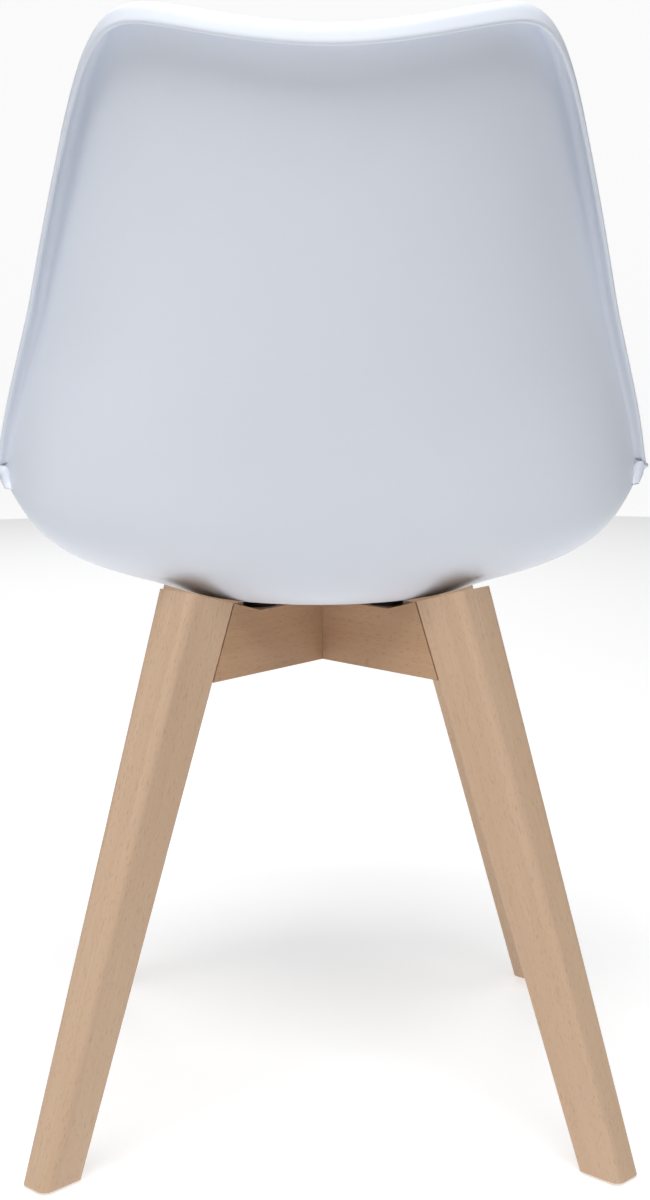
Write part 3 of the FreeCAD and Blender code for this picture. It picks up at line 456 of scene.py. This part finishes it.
def piping_mesh():
    """Corded seam round the pad's side: a circle carried round the rim, closed on itself."""
    edge, up, out = pad_rim()
    stand = side_swell(PIPING_PART) + PIPING_STAND
    middle = edge + up * (PAD_LOW + PAD_EDGE * PIPING_PART) + out * stand
    turn = np.linspace(0.0, 2.0 * np.pi, PIPING_AROUND, endpoint=False)[None, :, None]
    ring = np.cos(turn) * out[:, None, :] + np.sin(turn) * up[:, None, :]
    points = (middle[:, None, :] + PIPING_RADIUS * ring).reshape(-1, 3)
    faces = grid_faces(len(middle) + 1, PIPING_AROUND, closed=True) % len(points)
    return facing_out(mesh_object("pad_piping", in_frame(points), faces))


# ------------------------------------------------------------------------------ materials
def new_material(name):
    """Material with nodes, and its shader."""
    made = bpy.data.materials.new(name)
    made.use_nodes = True
    return made, made.node_tree.nodes, made.node_tree.links, made.node_tree.nodes["Principled BSDF"]


def object_coordinates(nodes, links, turn=(0.0, 0.0, 0.0), move=(0.0, 0.0, 0.0)):
    """Object coordinates through a Mapping node: turned and moved."""
    source = nodes.new("ShaderNodeTexCoord")
    mapping = nodes.new("ShaderNodeMapping")
    mapping.inputs["Rotation"].default_value = turn
    mapping.inputs["Location"].default_value = move
    links.new(source.outputs["Object"], mapping.inputs["Vector"])
    return mapping.outputs["Vector"]


def noise(nodes, links, vector, scale, detail=3.0, roughness=0.5, distortion=0.0):
    """Noise texture's factor on a vector."""
    made = nodes.new("ShaderNodeTexNoise")
    made.inputs["Scale"].default_value = scale
    made.inputs["Detail"].default_value = detail
    made.inputs["Roughness"].default_value = roughness
    made.inputs["Distortion"].default_value = distortion
    links.new(vector, made.inputs["Vector"])
    return made.outputs["Fac"]


def ramp(nodes, links, factor, stops):
    """Colour ramp through stops of (place, colour)."""
    made = nodes.new("ShaderNodeValToRGB")
    while len(made.color_ramp.elements) < len(stops):
        made.color_ramp.elements.new(0.5)
    for element, (place, colour) in zip(made.color_ramp.elements, stops):
        element.position = place
        element.color = (*colour, 1.0)
    links.new(factor, made.inputs["Fac"])
    return made.outputs["Color"]


def stretched(nodes, links, vector, factors):
    """Vector with each coordinate times a factor."""
    made = nodes.new("ShaderNodeVectorMath")
    made.operation = "MULTIPLY"
    made.inputs[1].default_value = factors
    links.new(vector, made.inputs[0])
    return made.outputs["Vector"]


def mixed(nodes, links, share, first, second):
    """Two numbers mixed: the second's share is given."""
    made = nodes.new("ShaderNodeMix")
    made.data_type = "FLOAT"
    made.inputs[0].default_value = share
    links.new(first, made.inputs[2])
    links.new(second, made.inputs[3])
    return made.outputs[0]


def spread(nodes, links, factor, low, high, start=0.0, end=1.0):
    """Factor stretched so that start to end comes to run from low to high."""
    made = nodes.new("ShaderNodeMapRange")
    made.inputs["From Min"].default_value = start
    made.inputs["From Max"].default_value = end
    made.inputs["To Min"].default_value = low
    made.inputs["To Max"].default_value = high
    links.new(factor, made.inputs["Value"])
    return made.outputs["Result"]


def bump(nodes, links, shader, height, strength, distance):
    """Bump of a height on the shader."""
    made = nodes.new("ShaderNodeBump")
    made.inputs["Strength"].default_value = strength
    made.inputs["Distance"].default_value = distance
    links.new(height, made.inputs["Height"])
    links.new(made.outputs["Normal"], shader.inputs["Normal"])


def tinted(nodes, links, shader, factor, colour, shades, places):
    """Base colour from a factor: two shades of one colour, at two places of a ramp."""
    stops = [(place, tuple(c * shade for c in colour)) for place, shade in zip(places, shades)]
    links.new(ramp(nodes, links, factor, stops), shader.inputs["Base Color"])


def moulded_plastic(name, colour):
    """Moulded plastic: a fine spark-eroded grain, faint flow tint and uneven gloss."""
    made, nodes, links, shader = new_material(name)
    place = object_coordinates(nodes, links)
    flow = noise(nodes, links, place, 5.0, 2.0)
    tinted(nodes, links, shader, flow, colour, (0.975, 1.0), (0.35, 0.65))
    gloss = noise(nodes, links, place, 22.0, 4.0)
    links.new(spread(nodes, links, gloss, 0.36, 0.46), shader.inputs["Roughness"])
    shader.inputs["Specular IOR Level"].default_value = 0.45
    shader.inputs["IOR"].default_value = 1.49
    bump(nodes, links, shader, noise(nodes, links, place, 2400.0, 2.0), 0.06, 0.00006)
    return made


FIGURE_STRETCH = (26.0, 26.0, 1.3)
STREAK_STRETCH = (330.0, 330.0, 7.0)
FLECK_STRETCH = (1100.0, 1100.0, 170.0)
FLECK_DEPTH, FLECK_SHADE = 0.45, 0.62


def beech(name, turn, pale, dark, seed):
    """Beech along one axis: soft long figure, fine pores and the short dark flecks of its rays."""
    made, nodes, links, shader = new_material(name)
    along = object_coordinates(nodes, links, turn=turn, move=(seed, 2.0 * seed, 3.0 * seed))
    long_place, streak_place, fleck_place = (
        stretched(nodes, links, along, factors)
        for factors in (FIGURE_STRETCH, STREAK_STRETCH, FLECK_STRETCH))
    figure = noise(nodes, links, long_place, 1.0, 4.0, 0.5, 0.6)
    streaks = noise(nodes, links, streak_place, 1.0, 3.0, 0.6)
    flecks = noise(nodes, links, fleck_place, 1.0, 1.0)
    fleck = spread(nodes, links, flecks, 0.0, 1.0, 0.60, 0.72)
    tone = mixed(nodes, links, 0.32, figure, streaks)
    middle = tuple((a + b) / 2.0 for a, b in zip(pale, dark))
    colour = ramp(nodes, links, tone, [(0.30, dark), (0.5, middle), (0.68, pale)])
    speck = tuple(FLECK_SHADE * c for c in dark)
    specked = nodes.new("ShaderNodeMix")
    specked.data_type = "RGBA"
    specked.inputs[7].default_value = (*speck, 1.0)
    strength = nodes.new("ShaderNodeMath")
    strength.operation = "MULTIPLY"
    strength.inputs[1].default_value = FLECK_DEPTH
    links.new(fleck, strength.inputs[0])
    links.new(strength.outputs["Value"], specked.inputs[0])
    links.new(colour, specked.inputs[6])
    links.new(specked.outputs[2], shader.inputs["Base Color"])
    links.new(spread(nodes, links, streaks, 0.44, 0.58), shader.inputs["Roughness"])
    shader.inputs["Specular IOR Level"].default_value = 0.35
    bump(nodes, links, shader, mixed(nodes, links, 0.5, streaks, fleck), 0.12, 0.00012)
    return made


def soft_leather(name, colour):
    """Coated upholstery: pebble grain, faint creases and an uneven, fairly dull gloss."""
    made, nodes, links, shader = new_material(name)
    place = object_coordinates(nodes, links)
    pebbles = nodes.new("ShaderNodeTexVoronoi")
    pebbles.inputs["Scale"].default_value = 620.0
    pebbles.inputs["Randomness"].default_value = 0.9
    links.new(place, pebbles.inputs["Vector"])
    creases = noise(nodes, links, place, 60.0, 6.0, 0.6, 0.4)
    tinted(nodes, links, shader, creases, colour, (0.985, 1.0), (0.35, 0.6))
    links.new(spread(nodes, links, creases, 0.42, 0.56), shader.inputs["Roughness"])
    height = nodes.new("ShaderNodeMath")
    height.operation = "ADD"
    links.new(pebbles.outputs["Distance"], height.inputs[0])
    links.new(creases, height.inputs[1])
    bump(nodes, links, shader, height.outputs["Value"], 0.25, 0.00025)
    return made


def plated_steel(name, colour):
    """Zinc-plated steel with a finely grained skin and patchy gloss."""
    made, nodes, links, shader = new_material(name)
    place = object_coordinates(nodes, links)
    patch = noise(nodes, links, place, 260.0, 3.0)
    tinted(nodes, links, shader, patch, colour, (0.8, 1.0), (0.3, 0.7))
    links.new(spread(nodes, links, patch, 0.25, 0.45), shader.inputs["Roughness"])
    shader.inputs["Metallic"].default_value = 1.0
    bump(nodes, links, shader, noise(nodes, links, place, 1500.0, 2.0), 0.1, 0.0001)
    return made


def black_rubber(name, colour):
    """Dull rubber with a coarse skin."""
    made, nodes, links, shader = new_material(name)
    place = object_coordinates(nodes, links)
    skin = noise(nodes, links, place, 900.0, 3.0)
    tinted(nodes, links, shader, skin, colour, (0.7, 1.2), (0.3, 0.7))
    links.new(spread(nodes, links, skin, 0.65, 0.85), shader.inputs["Roughness"])
    bump(nodes, links, shader, skin, 0.2, 0.0001)
    return made


def put_on(made, material):
    """Gives a piece one material in all of its slots."""
    if not made.material_slots:
        made.data.materials.append(material)
    for slot in made.material_slots:
        slot.material = material


# -------------------------------------------------------------------------------- pieces
PALE, TAN = (0.70, 0.505, 0.355), (0.60, 0.405, 0.265)
# the rails' beech is a darker, browner copy of the legs' beech: painted shade from the seat above
RAIL_SHADED_PALE, RAIL_SHADED_TAN = (0.56, 0.355, 0.22), (0.46, 0.27, 0.15)
SPACER_BLACK, GLIDE_TAN, BOARD_BLACK = (0.02, 0.02, 0.022), (0.35, 0.25, 0.17), (0.03, 0.03, 0.032)
LEG_LEAN = 19.9
STEEL_PIECES = ("cross_bolt", "cross_nut", "cross_washers", "shell_bolts", "shell_washers",
                "shell_inserts", "seat_pad_screws", "glide_nails")

shell = shell_mesh()
bosses = boss_mesh()
shell_white = moulded_plastic("shell_white", (0.76, 0.80, 0.88))
for piece in (shell, bosses):
    put_on(piece, shell_white)
    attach(piece, "root")
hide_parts("seat_shell")

pad = pad_mesh()
pad_white = soft_leather("pad_white", (0.80, 0.82, 0.85))
piping = piping_mesh()
for piece in (pad, piping):
    put_on(piece, pad_white)
    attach(piece, "root")
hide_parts("seat_pad_foam", "seat_pad_cover")


def grain_turn(diagonal, lean):
    """Angles that bring a direction, leaning out along a diagonal from the vertical, upright."""
    about_z = Matrix.Rotation(-math.radians(diagonal), 3, "Z")
    about_y = Matrix.Rotation(math.radians(lean), 3, "Y")
    return tuple((about_y @ about_z).to_euler())


for number, (corner, turn) in enumerate(DIAGONALS.items()):
    grain = grain_turn(turn, LEG_LEAN)
    leg_beech = beech("beech_leg_" + corner, grain, PALE, TAN, 0.37 * number)
    put_on(nodes_by_name["leg_" + corner], leg_beech)
    rubber = black_rubber("spacer_black_" + corner, SPACER_BLACK)
    put_on(nodes_by_name["spacer_" + corner], rubber)
    glide = moulded_plastic("glide_tan_" + corner, GLIDE_TAN)
    put_on(nodes_by_name["foot_glide_" + corner], glide)
for number, (label, turn) in enumerate((("cross_rail_lower", 45.0), ("cross_rail_upper", 135.0))):
    grain = grain_turn(turn, 90.0)
    # darker rail colours: painted shade from the seat over the rails
    rail_shaded_beech = beech("beech_" + label, grain, RAIL_SHADED_PALE, RAIL_SHADED_TAN, 1.9 + number)
    put_on(nodes_by_name[label], rail_shaded_beech)
put_on(nodes_by_name["leg_dowels"], beech("beech_dowels", (0.0, 0.0, 0.0), PALE, TAN, 5.0))
put_on(nodes_by_name["seat_pad_board"], moulded_plastic("board_black", BOARD_BLACK))
steel = plated_steel("zinc_steel", (0.62, 0.62, 0.64))
for label in STEEL_PIECES:
    put_on(nodes_by_name[label], steel)


# ------------------------------------------------------------------------- stage and light
def turned_mesh(name, radius, height):
    """Surface of revolution about the vertical: a profile of radius against height."""
    around = 96
    turn = np.linspace(0.0, 2.0 * np.pi, around, endpoint=False)
    x, y = np.outer(radius, np.cos(turn)), np.outer(radius, np.sin(turn))
    z = np.outer(height, np.ones(around))
    points = np.stack([x, y, z], axis=-1).reshape(-1, 3)
    return mesh_object(name, points, grid_faces(len(radius), around, closed=True, flip=True))


def area_light(name, place, aim, size_x, size_y, power):
    """White rectangular soft light that faces a point; its power is in watts."""
    data = bpy.data.lights.new(name, "AREA")
    data.shape = "RECTANGLE"
    data.size, data.size_y = size_x, size_y
    data.energy = power
    made = bpy.data.objects.new(name, data)
    made.location = place
    direction = Vector(aim) - Vector(place)
    made.rotation_euler = direction.to_track_quat("-Z", "Y").to_euler()
    bpy.context.scene.collection.objects.link(made)


def glowing_white(name, base, glow, roughness):
    """Grey of a given base that also gives off white light, so that it renders pale."""
    made, _, _, shader = new_material(name)
    shader.inputs["Base Color"].default_value = (base, base, base, 1.0)
    shader.inputs["Roughness"].default_value = roughness
    shader.inputs["Emission Color"].default_value = (1.0, 1.0, 1.0, 1.0)
    shader.inputs["Emission Strength"].default_value = glow
    return made


STAGE_RADIUS, STAGE_RINGS = 3.4, 24
BACKDROP_SPREAD, BACKDROP_HEIGHT = 1.8, 4.5
floor = turned_mesh("studio_floor", np.linspace(0.0, STAGE_RADIUS, STAGE_RINGS),
                    np.zeros(STAGE_RINGS))
rise_part = np.linspace(0.0, 1.0, STAGE_RINGS)
backdrop = turned_mesh("studio_backdrop",
                       STAGE_RADIUS + BACKDROP_SPREAD * np.sin(np.pi / 2.0 * rise_part),
                       BACKDROP_HEIGHT * rise_part ** 2)
backdrop.visible_diffuse = False
backdrop.visible_glossy = False
backdrop.visible_shadow = False
put_on(floor, glowing_white("floor_white", 0.6, 0.55, 0.7))
put_on(backdrop, glowing_white("backdrop_white", 0.3, 0.85, 0.5))

world = bpy.data.worlds.new("studio")
world.use_nodes = True
sky = world.node_tree.nodes["Background"]
sky.inputs["Color"].default_value = (0.95, 0.975, 1.0, 1.0)
sky.inputs["Strength"].default_value = 0.10
bpy.context.scene.world = world
bpy.context.scene.view_settings.view_transform = "Standard"
area_light("top_soft", (0.0, 0.25, 2.7), (0.0, 0.1, 0.6), 2.2, 0.8, 27.0)
area_light("rear_key", (0.25, 1.5, 2.9), (0.0, 0.2, 0.6), 2.4, 1.1, 61.0)
area_light("rear_left_soft", (2.4, 1.6, 1.1), (0.0, 0.1, 0.45), 1.4, 1.6, 4.0)
area_light("front_soft", (0.3, -2.8, 1.8), (0.0, 0.0, 0.5), 2.0, 2.0, 24.0)


# -------------------------------------------------------------------------------- camera
def camera():
    """Low camera behind the chair, a little to its left, looking slightly down."""
    pan, pitch, roll = 0.0275, 0.1776, 0.0041
    place = (0.0414, 1.6036 + CENTRE_SHIFT * MM, 0.6819)
    data = bpy.data.cameras.new("camera")
    data.sensor_fit = "VERTICAL"
    data.sensor_height = 36.0
    data.lens = 61.4
    made = bpy.data.objects.new("camera", data)
    right = np.array([-math.cos(pan), math.sin(pan), 0.0])
    level = math.cos(pitch)
    ahead = np.array([-math.sin(pan) * level, -math.cos(pan) * level, -math.sin(pitch)])
    up = np.cross(right, ahead)
    right, up = right - roll * up, up + roll * right
    made.matrix_world = Matrix([
        [right[0], up[0], -ahead[0], place[0]],
        [right[1], up[1], -ahead[1], place[1]],
        [right[2], up[2], -ahead[2], place[2]],
        [0.0, 0.0, 0.0, 1.0]])
    bpy.context.scene.collection.objects.link(made)
    bpy.context.scene.camera = made


camera()
